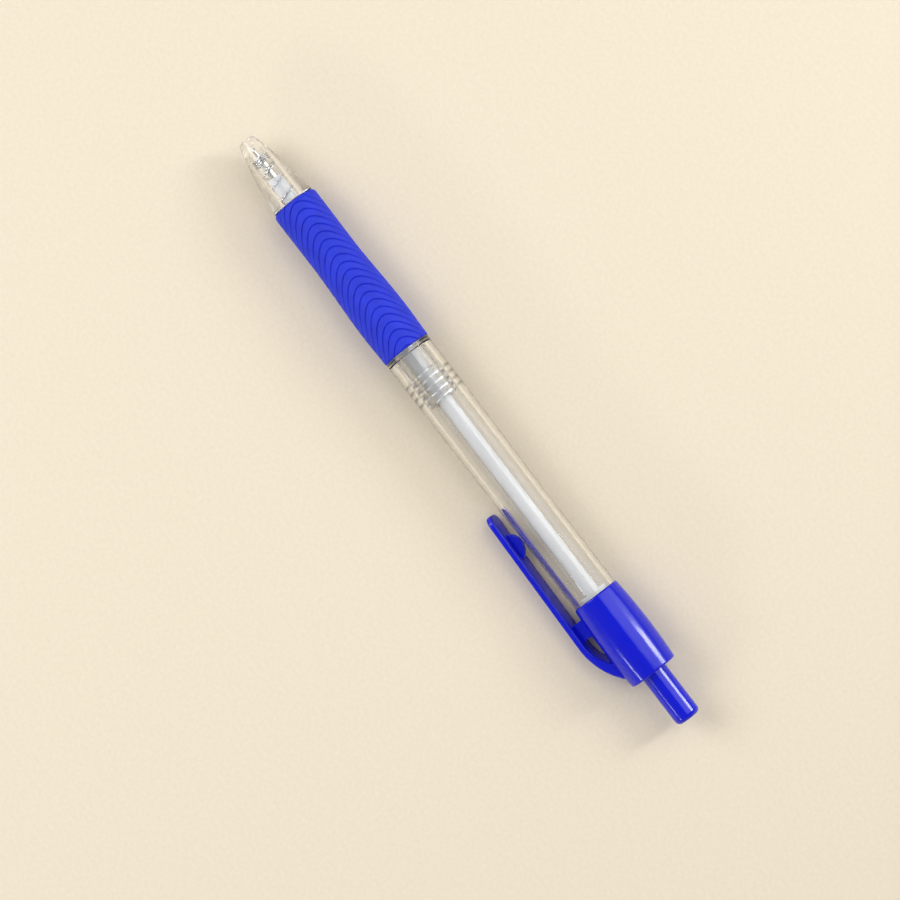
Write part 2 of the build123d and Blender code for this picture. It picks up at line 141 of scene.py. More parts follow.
# Clear rear barrel
BARREL_BORE_RADIUS = 3.7 * MM
BARREL_REAR_RADIUS = 4.77 * MM
BARREL_TAPER_PLACE = 9.0 * MM
BARREL_TAPER_LENGTH = 30.0 * MM
BARREL_TAPER_STEPS = 16
SPIGOT_RADIUS = 4.25 * MM
JOINT_GAP = 0.1 * MM

# Screw thread
THREAD_NECK = 5.1 * MM
THREAD_PITCH = 1.5 * MM
BARREL_THREAD_TURNS = 4.5
STUB_THREAD_TURNS = 3.75
THREAD_HALF_WIDTH = 0.24 * MM
THREAD_RUN_OUT = 0.3
THREAD_RING_STEP = 0.05 * MM

# Grip: radii at stations counted from its front, and the waves of its grooves
GRIP_PROFILE = (
    (0.0, 4.86 * MM),
    (12.65 * MM, 4.81 * MM),
    (29.15 * MM, 5.3 * MM),
    (grip_end - grip_front, 5.15 * MM),
)
GRIP_FRONT_ROUNDING = 0.95 * MM
GRIP_REAR_ROUNDING = 0.25 * MM
GRIP_CLEARANCE = 0.02 * MM
GRIP_BORE_RADIUS = GRIP_SEAT_RADIUS + GRIP_CLEARANCE
GROOVE_FIRST = 0.76 * MM
GROOVE_SWEEP = 7.25 * MM
GROOVE_SPAN = 5.55 * MM
GROOVE_SIDE_DEPTH = 0.35
GROOVE_ROWS = 8
BAND_ROWS = 6
GROOVE_PASSES = 3

# Clip
CLIP_TIP_REACH = 8.07 * MM
CLIP_KNEE_REACH = 8.79 * MM
CLIP_KNEE_PLACE = 6.4 * MM
CLIP_THICKNESS = 1.26 * MM
CLIP_WIDTH = 4.6 * MM
CLIP_EDGE_ROUNDING = 0.35 * MM
CLIP_CORNER_ROUNDING = 1.8 * MM
CLIP_TIP_ROUNDING_LOSS = 0.7
CLIP_TIP_STEPS = 14
CLIP_STEP = 0.5 * MM
CLIP_CORNER_STEPS = 5
BUMP_FRONT = 4.7 * MM
BUMP_PEAK = 7.6 * MM
BUMP_REAR = 11.1 * MM
BUMP_TOP_REACH = 5.17 * MM
BUMP_WIDTH = 1.1 * MM
BUMP_ROUNDING = 0.25 * MM
BUMP_ROUNDING_SHARE = 0.9
BUMP_CORNER_STEPS = 4
BUMP_STEPS = 36

# Refill
TUBE_RADIUS = 1.5 * MM
TUBE_BORE_RADIUS = 0.95 * MM
TUBE_NOSE_ROUNDING = 0.4 * MM
COLLAR_PLACE = 28.0 * MM
COLLAR_LENGTH = 1.0 * MM
COLLAR_ROUNDING = 0.12 * MM
NOZZLE_LIP_RADIUS = 0.4 * MM
NOZZLE_RADIUS = 0.46 * MM
NOZZLE_LENGTH = 2.3 * MM
TIP_CONE_LENGTH = 1.5 * MM
TIP_BODY_RADIUS = 0.85 * MM
TIP_SHANK_RADIUS = 0.94 * MM
TIP_EDGE = 0.06 * MM
TIP_NECK_PLACE = 1.1 * MM
TIP_NECK_DEPTH = 0.08 * MM
TIP_NECK_WIDTH = 0.22 * MM
INK_DUCT_RADIUS = 0.22 * MM
BALL_SOCKET_RADIUS = 0.362 * MM
BALL_SOCKET_PLACE = 0.15 * MM
BALL_SOCKET_STEPS = 8

# Spring
COIL_RADIUS = 1.75 * MM
SPRING_CLOSED_TURNS = 2.5
SPRING_OPEN_TURNS = 6.4
SPRING_RAMP_TURNS = 0.6
SPRING_CLOSED_PITCH = 0.52 * MM
SPRING_START_ANGLE = math.radians(298)
SPRING_STEPS_A_TURN = 40
WIRE_SIDES = 14

# Most of a noise lies between these values
NOISE_LOW = 0.3
NOISE_HIGH = 0.7

# Sockets of a node that mixes two colours
MIX_SHARE = 0
MIX_FIRST = 6
MIX_SECOND = 7
MIX_RESULT = 2


class PenShape(bpy.types.PropertyGroup):
    """Sizes of the details"""

    turning_steps: IntProperty(
        name="Turning steps",
        description="Faces round a turned piece",
        default=144,
        min=24,
    )
    thread_height: FloatProperty(
        name="Thread height",
        description="How far the ridges of the screw thread stand out",
        default=0.2 * MM,
        min=0,
        unit="LENGTH",
    )
    groove_pitch: FloatProperty(
        name="Groove pitch",
        description="Spacing of the grip's grooves along the pen",
        default=1.855 * MM,
        min=0.5 * MM,
        unit="LENGTH",
    )
    groove_width: FloatProperty(
        name="Groove width",
        description="Width of one groove along the pen",
        default=0.38 * MM,
        min=0.05 * MM,
        unit="LENGTH",
    )
    groove_depth: FloatProperty(
        name="Groove depth",
        description="Depth of the grip's grooves",
        default=0.25 * MM,
        min=0,
        unit="LENGTH",
    )
    band_sink: FloatProperty(
        name="Band slope",
        description="How far each band of the grip leans down towards the next groove",
        default=0.05 * MM,
        min=0,
        unit="LENGTH",
    )
    wire_thickness: FloatProperty(
        name="Wire thickness",
        description="Thickness of the spring's wire",
        default=0.34 * MM,
        min=0.05 * MM,
        unit="LENGTH",
    )


class PenColours(bpy.types.PropertyGroup):
    """Colours of the finishes"""

    clear: FloatVectorProperty(
        name="Clear plastic",
        description="Tint of the clear barrel",
        default=(0.99, 0.992, 0.995),
        subtype="COLOR",
    )
    grip: FloatVectorProperty(
        name="Grip rubber",
        description="Colour of the rubber sleeve",
        default=(0.018, 0.036, 0.62),
        subtype="COLOR",
    )
    plastic: FloatVectorProperty(
        name="Blue plastic",
        description="Colour of the cap, the clip and the button",
        default=(0.004, 0.009, 0.58),
        subtype="COLOR",
    )
    refill: FloatVectorProperty(
        name="Refill plastic",
        description="Colour of the ink tube",
        default=(0.95, 0.96, 0.97),
        subtype="COLOR",
    )
    steel: FloatVectorProperty(
        name="Spring steel",
        description="Colour of the spring's wire",
        default=(0.66, 0.66, 0.68),
        subtype="COLOR",
    )
    tip: FloatVectorProperty(
        name="Tip metal",
        description="Colour of the writing tip",
        default=(0.78, 0.76, 0.71),
        subtype="COLOR",
    )
    ball: FloatVectorProperty(
        name="Ball metal",
        description="Colour of the writing ball",
        default=(0.42, 0.42, 0.44),
        subtype="COLOR",
    )
    ink: FloatVectorProperty(
        name="Ink",
        description="Colour of the ink",
        default=(0.01, 0.015, 0.18),
        subtype="COLOR",
    )


class PenStage(bpy.types.PropertyGroup):
    """Floor, lamps and camera"""

    floor_colour: FloatVectorProperty(
        name="Floor",
        description="Colour of the floor",
        default=(0.80, 0.71, 0.56),
        subtype="COLOR",
    )
    soft_power: FloatProperty(
        name="Soft lamp",
        description="Power of the large soft lamp beside the pen",
        default=1.7,
        min=0,
        unit="POWER",
    )
    bright_power: FloatProperty(
        name="Bright lamp",
        description="Power of the small lamp lower than the soft one, towards the button",
        default=1.0,
        min=0,
        unit="POWER",
    )
    fill_power: FloatProperty(
        name="Fill lamp",
        description="Power of the wide lamp overhead, which gives no highlights",
        default=1.3,
        min=0,
        unit="POWER",
    )
    side_power: FloatProperty(
        name="Side lamp",
        description="Power of the soft lamp beyond the nose on the clip's side",
        default=1.8,
        min=0,
        unit="POWER",
    )
    strip_power: FloatProperty(
        name="Strip lamp",
        description="Power of the narrow lamp beyond the button on the clip's side",
        default=0.6,
        min=0,
        unit="POWER",
    )
    wall_strength: FloatProperty(
        name="Wall light",
        description="Strength of the room's light from near the floor",
        default=0.45,
        min=0,
    )
    ceiling_strength: FloatProperty(
        name="Ceiling light",
        description="Strength of the room's light from straight above",
        default=0.09,
        min=0,
    )
    aim: FloatVectorProperty(
        name="Camera aim",
        description="Point that the camera looks at",
        default=(1.44 * MM, -3.47 * MM, 5.42 * MM),
        subtype="XYZ",
        unit="LENGTH",
    )
    distance: FloatProperty(
        name="Camera distance",
        description="Distance from the camera to its aim",
        default=0.65,
        min=0.05,
        unit="LENGTH",
    )
    heading: FloatProperty(
        name="Camera heading",
        description="Direction on the floor that is up in the picture",
        default=math.radians(142.55),
        subtype="ANGLE",
    )
    tilt: FloatProperty(
        name="Camera tilt",
        description="How far the camera leans back from looking straight down",
        default=math.radians(3.25),
        subtype="ANGLE",
    )
    focal_length: FloatProperty(
        name="Focal length",
        description="Focal length of the camera",
        default=133.3,
        min=10,
        unit="CAMERA",
    )


# Placing points on the pen


def spot(station, along_y=0.0, along_z=0.0):
    """A point at a station, set off from the pen's axis."""
    return Vector((cad_low.x + station, axis_point.y + along_y, axis_point.z + along_z))


def on_pen(station, radius, angle):
    """A point at a radius, turned about the pen's axis."""
    return spot(station, radius * math.cos(angle), radius * math.sin(angle))


def on_clip(station, reach, side):
    """A point on the clip: its reach from the pen's axis, and its offset from the clip's middle."""
    return spot(station) + clip_way * reach + clip_side * side


def eased_step(share):
    """Runs from 0 to 1 with level ends."""
    share = min(max(share, 0), 1)
    return share * share * (3 - 2 * share)


def end_drop(distance, rounding):
    """How far a rounded end has dropped at a distance from the end."""
    if distance >= rounding:
        return 0
    return rounding - math.sqrt(rounding**2 - (rounding - distance) ** 2)


def spread(start, end, steps):
    """Evenly spaced values from start to end."""
    return [start + (end - start) * step / steps for step in range(steps + 1)]


def eased(corners, steps=5):
    """A closed outline through corners of (station, radius, rounding)."""
    outline = []
    for index, (station, radius, rounding) in enumerate(corners):
        here = Vector((station, radius))
        if not rounding:
            outline.append((station, radius))
            continue
        before = Vector(corners[index - 1][:2])
        after = Vector(corners[(index + 1) % len(corners)][:2])
        start = here + (before - here).normalized() * rounding
        end = here + (after - here).normalized() * rounding
        for share in spread(0, 1, steps):
            point = start * (1 - share) ** 2 + here * 2 * share * (1 - share) + end * share**2
            outline.append(tuple(point))
    return outline


# Making meshes


def turned(rings, steps):
    """Points and faces of a piece turned about the pen's axis.

    A ring is a (station, radius) pair, or a function that gives the pair at an angle.
    """
    points = []
    for ring in rings:
        for step in range(steps):
            angle = math.tau * step / steps
            station, radius = ring(angle) if callable(ring) else ring
            points.append(on_pen(station, radius, angle))
    return points, lofted_faces(len(rings), steps, closed=True)


def lofted_faces(loops, sides, closed):
    """Faces between loops of points, the last loop joined to the first if closed."""
    faces = []
    for loop in range(loops if closed else loops - 1):
        here = loop * sides
        there = (loop + 1) % loops * sides
        for side in range(sides):
            beside = (side + 1) % sides
            faces.append((here + side, here + beside, there + beside, there + side))
    return faces


def lofted(loops):
    """Points and faces of a piece lofted through loops of points, closed at both ends."""
    sides = len(loops[0])
    points = [point for loop in loops for point in loop]
    faces = lofted_faces(len(loops), sides, closed=False)
    faces.append(tuple(range(sides)))
    faces.append(tuple(range(len(points) - sides, len(points))))
    return points, faces


def new_piece(name, points, faces, material):
    """A smooth mesh object with its material."""
    mesh = bpy.data.meshes.new(name)
    mesh.from_pydata(points, [], faces)
    shape = bmesh.new()
    shape.from_mesh(mesh)
    bmesh.ops.remove_doubles(shape, verts=shape.verts, dist=MERGE_DISTANCE)
    bmesh.ops.recalc_face_normals(shape, faces=shape.faces)
    shape.to_mesh(mesh)
    shape.free()
    mesh.shade_smooth()
    mesh.set_sharp_from_angle(angle=SHARP_ANGLE)
    mesh.materials.append(material)
    piece = bpy.data.objects.new(name, mesh)
    bpy.context.scene.collection.objects.link(piece)
    return piece


def repaint(node, material):
    """Gives a CAD node that stays in view a better material."""
    frame["nodes"][node].material_slots[0].material = material


def thread_ridge(station, angle, first, turns, height):
    """Height of the right-handed screw thread at a point."""
    turn = (station - first) / THREAD_PITCH
    lap = round(turn - angle / math.tau) + angle / math.tau
    offset = (turn - lap) * THREAD_PITCH
    if abs(offset) >= THREAD_HALF_WIDTH:
        return 0
    run_in = eased_step(lap / THREAD_RUN_OUT) * eased_step((turns - lap) / THREAD_RUN_OUT)
    return height * run_in * math.cos(offset / THREAD_HALF_WIDTH * math.pi / 2) ** 2


def thread_rings(first, turns, radius, height):
    """Rings along a screw thread that stands out from a radius by a height, inwards if it is below 0."""
    start = first - 2 * THREAD_HALF_WIDTH
    end = first + turns * THREAD_PITCH + THREAD_HALF_WIDTH
    count = round((end - start) / THREAD_RING_STEP)
    return [
        lambda angle, station=station: (station, radius + thread_ridge(station, angle, first, turns, height))
        for station in spread(start, end, count)
    ]


# Finishes


def new_finish(name):
    """A new material, its node tree and its shader."""
    material = bpy.data.materials.new(name)
    material.use_nodes = True
    tree = material.node_tree
    return material, tree, tree.nodes["Principled BSDF"]


def set_inputs(shader, **values):
    """Sets a shader's sockets, named in lower case with underscores."""
    for name, value in values.items():
        socket = next(
            socket for socket in shader.inputs if socket.name.lower().replace(" ", "_") == name
        )
        socket.default_value = (*value, 1) if hasattr(value, "__len__") and len(value) == 3 else value


def noise(tree, size, stretch=(1, 1, 1), detail=3.0):
    """Noise whose patches have a size in metres, stretched along the frame's axes."""
    place = tree.nodes.new("ShaderNodeTexCoord")
    scaled = tree.nodes.new("ShaderNodeMapping")
    scaled.inputs["Scale"].default_value = [1 / (size * way) for way in stretch]
    pattern = tree.nodes.new("ShaderNodeTexNoise")
    pattern.inputs["Scale"].default_value = 1
    pattern.inputs["Detail"].default_value = detail
    tree.links.new(place.outputs["Object"], scaled.inputs["Vector"])
    tree.links.new(scaled.outputs["Vector"], pattern.inputs["Vector"])
    return pattern.outputs["Fac"]


def ranged(tree, source, low, high):
    """Turns the middle of a noise into values from low to high."""
    fitted = tree.nodes.new("ShaderNodeMapRange")
    fitted.inputs["From Min"].default_value = NOISE_LOW
    fitted.inputs["From Max"].default_value = NOISE_HIGH
    fitted.inputs["To Min"].default_value = low
    fitted.inputs["To Max"].default_value = high
    tree.links.new(source, fitted.inputs["Value"])
    return fitted.outputs["Result"]


def mottled(tree, shader, source, colour, change):
    """Colours a shader, a little darker and lighter by a pattern."""
    mixed = tree.nodes.new("ShaderNodeMix")
    mixed.data_type = "RGBA"
    mixed.inputs[MIX_FIRST].default_value = (*[part * (1 - change) for part in colour], 1)
    mixed.inputs[MIX_SECOND].default_value = (*[part * (1 + change) for part in colour], 1)
    tree.links.new(ranged(tree, source, 0, 1), mixed.inputs[MIX_SHARE])
    tree.links.new(mixed.outputs[MIX_RESULT], shader.inputs["Base Color"])


def roughened(tree, shader, source, low, high):
    """Gives a shader a roughness from low to high by a pattern."""
    tree.links.new(ranged(tree, source, low, high), shader.inputs["Roughness"])


def bumped(tree, shader, source, height, strength):
    """Gives a shader a fine relief from a pattern."""
    relief = tree.nodes.new("ShaderNodeBump")
    relief.inputs["Distance"].default_value = height
    relief.inputs["Strength"].default_value = strength
    tree.links.new(source, relief.inputs["Height"])
    tree.links.new(relief.outputs["Normal"], shader.inputs["Normal"])


def worked(tree, operation, first, second):
    """Result of a sum on two values, of which the second may be a number."""
    sum_node = tree.nodes.new("ShaderNodeMath")
    sum_node.operation = operation
    tree.links.new(first, sum_node.inputs[0])
    if isinstance(second, float):
        sum_node.inputs[1].default_value = second
    else:
        tree.links.new(second, sum_node.inputs[1])
    return sum_node.outputs["Value"]


def matt_bore(tree):
    """1 on the bore behind the grip, which is matt, and 0 on the rest of the plastic."""
    place = tree.nodes.new("ShaderNodeTexCoord")
    from_grip = tree.nodes.new("ShaderNodeVectorMath")
    from_grip.operation = "SUBTRACT"
    from_grip.inputs[1].default_value = spot(grip_end)
    tree.links.new(place.outputs["Object"], from_grip.inputs[0])
    parts = tree.nodes.new("ShaderNodeSeparateXYZ")
    tree.links.new(from_grip.outputs["Vector"], parts.inputs[0])
    side_square = worked(tree, "MULTIPLY", parts.outputs["Y"], parts.outputs["Y"])
    height_square = worked(tree, "MULTIPLY", parts.outputs["Z"], parts.outputs["Z"])
    square = worked(tree, "ADD", side_square, height_square)
    inside = worked(tree, "LESS_THAN", square, (SPRING_BORE_RADIUS + MATT_BORE_DEPTH) ** 2)
    return worked(tree, "MULTIPLY", inside, worked(tree, "GREATER_THAN", parts.outputs["X"], 0.0))


def clear_plastic(colours):
    """Polished clear plastic with faint rubbing marks along the pen and a matt bore in the stub."""
    material = bpy.data.materials.get("clear_plastic_polished")
    if material:
        return material
    material, tree, shader = new_finish("clear_plastic_polished")
    set_inputs(shader, transmission_weight=1.0, ior=1.49)
    mottled(tree, shader, noise(tree, size=6 * MM), colours.clear, change=0.01)
    rubbing = noise(tree, size=0.4 * MM, stretch=(12, 1, 1))
    matt = worked(tree, "MULTIPLY", matt_bore(tree), MATT_BORE_ROUGHNESS)
    roughness = worked(tree, "ADD", ranged(tree, rubbing, low=0.0, high=0.008), matt)
    tree.links.new(roughness, shader.inputs["Roughness"])
    return material


def blue_plastic(colours):
    """Glossy blue moulded plastic with soft flow marks and fine rubbing."""
    material = bpy.data.materials.get("blue_plastic_glossy")
    if material:
        return material
    material, tree, shader = new_finish("blue_plastic_glossy")
    set_inputs(shader, ior=1.46)
    flow = noise(tree, size=5 * MM, stretch=(3, 1, 1))
    mottled(tree, shader, flow, colours.plastic, change=0.07)
    rubbing = noise(tree, size=0.25 * MM, stretch=(10, 1, 1))
    roughened(tree, shader, rubbing, low=0.1, high=0.2)
    bumped(tree, shader, noise(tree, size=0.5 * MM, detail=4), height=0.01 * MM, strength=0.08)
    return material


def grip_rubber(colours):
    """Matt rubber with a fine moulded grain."""
    material, tree, shader = new_finish("grip_rubber_matt")
    set_inputs(shader, ior=1.48, specular_ior_level=0.3)
    mottled(tree, shader, noise(tree, size=2.2 * MM, detail=5), colours.grip, change=0.09)
    grain = noise(tree, size=0.12 * MM, detail=4)
    roughened(tree, shader, grain, low=0.5, high=0.68)
    bumped(tree, shader, grain, height=0.02 * MM, strength=0.35)
    return material


def refill_plastic(colours):
    """Milky white plastic, drawn along the pen."""
    material = bpy.data.materials.get("refill_plastic_milky")
    if material:
        return material
    material, tree, shader = new_finish("refill_plastic_milky")
    set_inputs(shader, ior=1.49)
    clouds = noise(tree, size=4 * MM, stretch=(6, 1, 1))
    mottled(tree, shader, clouds, colours.refill, change=0.02)
    roughened(tree, shader, noise(tree, size=0.3 * MM), low=0.28, high=0.42)
    draw_lines = noise(tree, size=0.2 * MM, stretch=(20, 1, 1))
    bumped(tree, shader, draw_lines, height=0.01 * MM, strength=0.2)
    return material


def metal(name, colour, low, high, grain_size, grain_stretch):
    """Bare metal with tool marks that run across the pen or along the wire."""
    material, tree, shader = new_finish(name)
    set_inputs(shader, metallic=1.0)
    marks = noise(tree, grain_size, stretch=grain_stretch, detail=4)
    mottled(tree, shader, marks, colour, change=0.12)
    roughened(tree, shader, marks, low, high)
    bumped(tree, shader, marks, height=0.01 * MM, strength=0.25)
    return material


def wet_ink(colours):
    """Thick dark ink."""
    material, tree, shader = new_finish("ink_wet")
    set_inputs(shader, ior=1.4)
    mottled(tree, shader, noise(tree, size=1.5 * MM), colours.ink, change=0.2)
    roughened(tree, shader, noise(tree, size=0.6 * MM), low=0.05, high=0.15)
    return material


# Pieces


class PEN_OT_front_barrel(bpy.types.Operator):
    """Make the clear nose with the seat of the grip, the flange and the screwed stub"""

    bl_idname = "pen.front_barrel"
    bl_label = "Front barrel"

    def execute(self, context):
        shape = context.scene.pen_shape
        flange_radius = girth("front_barrel")
        first = flange_end + THREAD_NECK
        thread = thread_rings(first, STUB_THREAD_TURNS, STUB_RADIUS, shape.thread_height)
        nose = [
            (
                grip_front * share,
                MOUTH_RADIUS + (NOSE_RADIUS - MOUTH_RADIUS) * share + 4 * NOSE_BULGE * share * (1 - share),
                0,
            )
            for share in spread(0, 1, NOSE_STEPS)[1:-1]
        ]
        front = eased(
            [
                (SPRING_SEAT, SPRING_BORE_RADIUS, 0),
                (SPRING_SEAT, THROAT_RADIUS, 0),
                (MOUTH_BORE_LENGTH + THROAT_CONE_LENGTH, THROAT_RADIUS, EDGE_ROUNDING),
                (MOUTH_BORE_LENGTH, MOUTH_BORE_RADIUS, EDGE_ROUNDING),
                (mouth, MOUTH_BORE_RADIUS, EDGE_ROUNDING),
                (mouth, MOUTH_RADIUS, MOUTH_ROUNDING),
                *nose,
                (grip_front, NOSE_RADIUS, NOSE_REAR_ROUNDING),
                (grip_front, GRIP_SEAT_RADIUS, 0),
                (grip_end, GRIP_SEAT_RADIUS, 0),
                (grip_end, flange_radius, EDGE_ROUNDING),
                (flange_end, flange_radius, EDGE_ROUNDING),
                (flange_end, STUB_RADIUS, EDGE_ROUNDING),
                (first - THREAD_PITCH, STUB_RADIUS, 0),
            ]
        )
        rear = [
            (stub_end - STUB_CHAMFER, STUB_RADIUS),
            (stub_end, STUB_RADIUS - STUB_CHAMFER),
            (stub_end, SPRING_BORE_RADIUS),
        ]
        points, faces = turned([*front, *thread, *rear], shape.turning_steps)
        piece = new_piece(
            "clear_front_barrel", points, faces, clear_plastic(context.scene.pen_colours)
        )
        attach(piece, "barrel")
        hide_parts("front_barrel")
        return {"FINISHED"}


def plain_grip_radius(station):
    """Radius of the grip's outside before its ends are rounded."""
    place = min(max(station - grip_front, 0), GRIP_PROFILE[-1][0])
    for (start, radius), (end, next_radius) in zip(GRIP_PROFILE, GRIP_PROFILE[1:]):
        if place <= end:
            break
    return radius + (next_radius - radius) * eased_step((place - start) / (end - start))


def outer_grip_radius(station):
    """Radius of the grip's outside, with its ends rounded."""
    front_drop = end_drop(station - grip_front, GRIP_FRONT_ROUNDING)
    return plain_grip_radius(station) - front_drop - end_drop(grip_end - station, GRIP_REAR_ROUNDING)


class PEN_OT_grip(bpy.types.Operator):
    """Make the rubber sleeve with its waves of grooves"""

    bl_idname = "pen.grip"
    bl_label = "Grip sleeve"

    def execute(self, context):
        shape = context.scene.pen_shape
        first_wave = -math.ceil((GROOVE_FIRST + GROOVE_SWEEP) / shape.groove_pitch)
        last_wave = math.ceil((grip_end - grip_front) / shape.groove_pitch)
        rings = [
            self.ring(grip_front + GROOVE_FIRST + wave * shape.groove_pitch, row, shape)
            for wave in range(first_wave, last_wave)
            for row in range(GROOVE_ROWS + BAND_ROWS)
        ]
        inside = [(grip_end, GRIP_BORE_RADIUS), (grip_front, GRIP_BORE_RADIUS)]
        points, faces = turned([*rings, *inside], shape.turning_steps)
        piece = new_piece(
            "rubber_grip", points, faces, grip_rubber(context.scene.pen_colours)
        )
        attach(piece, "barrel")
        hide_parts("grip_sleeve")
        return {"FINISHED"}

    def ring(self, vertex, row, shape):
        """One row of the sleeve's outside, which follows the wave of the grooves."""
        in_groove = min(row / GROOVE_ROWS, 1)
        in_band = max((row - GROOVE_ROWS) / BAND_ROWS, 0)
        sink = shape.groove_depth * math.sin(math.pi * in_groove) ** 2 + shape.band_sink * in_band**2

        def place(angle):
            side_share = math.cos(angle) ** 2
            station = vertex
            for _ in range(GROOVE_PASSES):
                radius = plain_grip_radius(station)
                wave = GROOVE_SWEEP * (radius / GROOVE_SPAN) ** 2
                lead = wave * math.sin(2 * angle) / radius
                groove_run = shape.groove_width * math.hypot(1, lead)
                run = groove_run * in_groove + (shape.groove_pitch - groove_run) * in_band
                station = vertex + run + wave * side_share
            station = min(max(station, grip_front), grip_end)
            depth = sink * (1 + (GROOVE_SIDE_DEPTH - 1) * side_share)
            return station, outer_grip_radius(station) - depth

        return place


class PEN_OT_rear_barrel(bpy.types.Operator):
    """Make the clear tube with its inside thread and its spigot"""

    bl_idname = "pen.rear_barrel"
    bl_label = "Rear barrel"

    def execute(self, context):
        shape = context.scene.pen_shape
        front = flange_end + JOINT_GAP
        front_radius = girth("rear_barrel")
        first = flange_end + THREAD_NECK - THREAD_PITCH / 2
        thread = thread_rings(first, BARREL_THREAD_TURNS, BARREL_BORE_RADIUS, -shape.thread_height)
        taper_start = flange_end + BARREL_TAPER_PLACE
        taper = [
            (
                taper_start + BARREL_TAPER_LENGTH * share,
                front_radius + (BARREL_REAR_RADIUS - front_radius) * eased_step(share),
                0,
            )
            for share in spread(0, 1, BARREL_TAPER_STEPS)
        ]
        outside = eased(
            [
                (first - THREAD_PITCH, BARREL_BORE_RADIUS, 0),
                (front, BARREL_BORE_RADIUS, EDGE_ROUNDING),
                (front, front_radius, EDGE_ROUNDING),
                *taper,
                (cap_front, BARREL_REAR_RADIUS, 0),
                (cap_front, SPIGOT_RADIUS, 0),
                (spigot_end, SPIGOT_RADIUS, EDGE_ROUNDING),
                (spigot_end, BARREL_BORE_RADIUS, EDGE_ROUNDING),
            ]
        )
        points, faces = turned([*outside, *reversed(thread)], shape.turning_steps)
        piece = new_piece(
            "clear_rear_barrel", points, faces, clear_plastic(context.scene.pen_colours)
        )
        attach(piece, "barrel")
        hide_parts("rear_barrel")
        return {"FINISHED"}


class PEN_OT_cap_and_button(bpy.types.Operator):
    """Finish the cap, the push button and the turning cam"""

    bl_idname = "pen.cap_and_button"
    bl_label = "Cap, button and cam"

    def execute(self, context):
        for node in ("clip_cap", "push_button"):
            repaint(node, blue_plastic(context.scene.pen_colours))
        repaint("cam_rotor", refill_plastic(context.scene.pen_colours))
        return {"FINISHED"}


class PEN_OT_clip(bpy.types.Operator):
    """Make the clip's leaf and the bump that grips"""

    bl_idname = "pen.clip"
    bl_label = "Clip"

    def execute(self, context):
        finish = blue_plastic(context.scene.pen_colours)
        tip_run = [
            CLIP_CORNER_ROUNDING * (1 - math.cos(angle)) for angle in spread(0, math.pi / 2, CLIP_TIP_STEPS)
        ]
        leaf_count = round((clip_split - clip_tip - CLIP_CORNER_ROUNDING) / CLIP_STEP)
        leaf_run = spread(CLIP_CORNER_ROUNDING, clip_split - clip_tip, leaf_count)
        loops = [self.section(distance) for distance in [*tip_run, *leaf_run[1:]]]
        points, faces = lofted(loops)
        leaf = new_piece("clip_leaf", points, faces, finish)
        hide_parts("clip_arm")
        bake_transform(leaf)
        points, faces = lofted([self.bump_section(share) for share in spread(0, 1, BUMP_STEPS)])
        bump = new_piece("clip_bump", points, faces, finish)
        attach(bump, "clip")
        return {"FINISHED"}

    def slope(self):
        """Rise of the leaf away from the pen's axis, from its tip to its knee."""
        return (CLIP_KNEE_REACH - CLIP_TIP_REACH) / (cap_front + CLIP_KNEE_PLACE - clip_tip)

    def section(self, distance):
        """Outline of the leaf across the pen at a distance from the clip's tip."""
        drop = end_drop(distance, CLIP_EDGE_ROUNDING)
        reach = CLIP_TIP_REACH + self.slope() * distance
        high = reach - drop
        low = reach - CLIP_THICKNESS + drop
        half_width = CLIP_WIDTH / 2 - end_drop(distance, CLIP_CORNER_ROUNDING)
        rounding = CLIP_EDGE_ROUNDING - drop * CLIP_TIP_ROUNDING_LOSS
        loop = []
        corners = ((1, 1), (-1, 1), (-1, -1), (1, -1))
        for quarter, (side_sign, reach_sign) in enumerate(corners):
            side = side_sign * (half_width - rounding)
            centre = (high - rounding) if reach_sign > 0 else (low + rounding)
            for share in spread(0, 1, CLIP_CORNER_STEPS):
                angle = (quarter + share) * math.pi / 2
                loop.append(
                    on_clip(
                        clip_tip + distance,
                        centre + rounding * math.sin(angle),
                        side + rounding * math.cos(angle),
                    )
                )
        return loop

    def bump_section(self, share):
        """Outline of the bump across the pen, from its front to its rear."""
        station = BUMP_FRONT + (BUMP_REAR - BUMP_FRONT) * share
        base = CLIP_TIP_REACH - CLIP_THICKNESS / 2
        if station < BUMP_PEAK:
            rise = math.sqrt(max(1 - ((BUMP_PEAK - station) / (BUMP_PEAK - BUMP_FRONT)) ** 2, 0))
        else:
            rise = 1 - ((station - BUMP_PEAK) / (BUMP_REAR - BUMP_PEAK)) ** 2
        top = base - (base - BUMP_TOP_REACH) * rise
        half = BUMP_WIDTH / 2
        rounding = min(BUMP_ROUNDING, (base - top) * BUMP_ROUNDING_SHARE)
        profile = [(base, -half), (top + rounding, -half)]
        profile += [
            (top + rounding - rounding * math.sin(angle), -half + rounding - rounding * math.cos(angle))
            for angle in spread(0, math.pi / 2, BUMP_CORNER_STEPS)[1:]
        ]
        profile += [(reach, -side) for reach, side in reversed(profile)]
        return [on_clip(clip_tip + station, reach, side) for reach, side in profile]


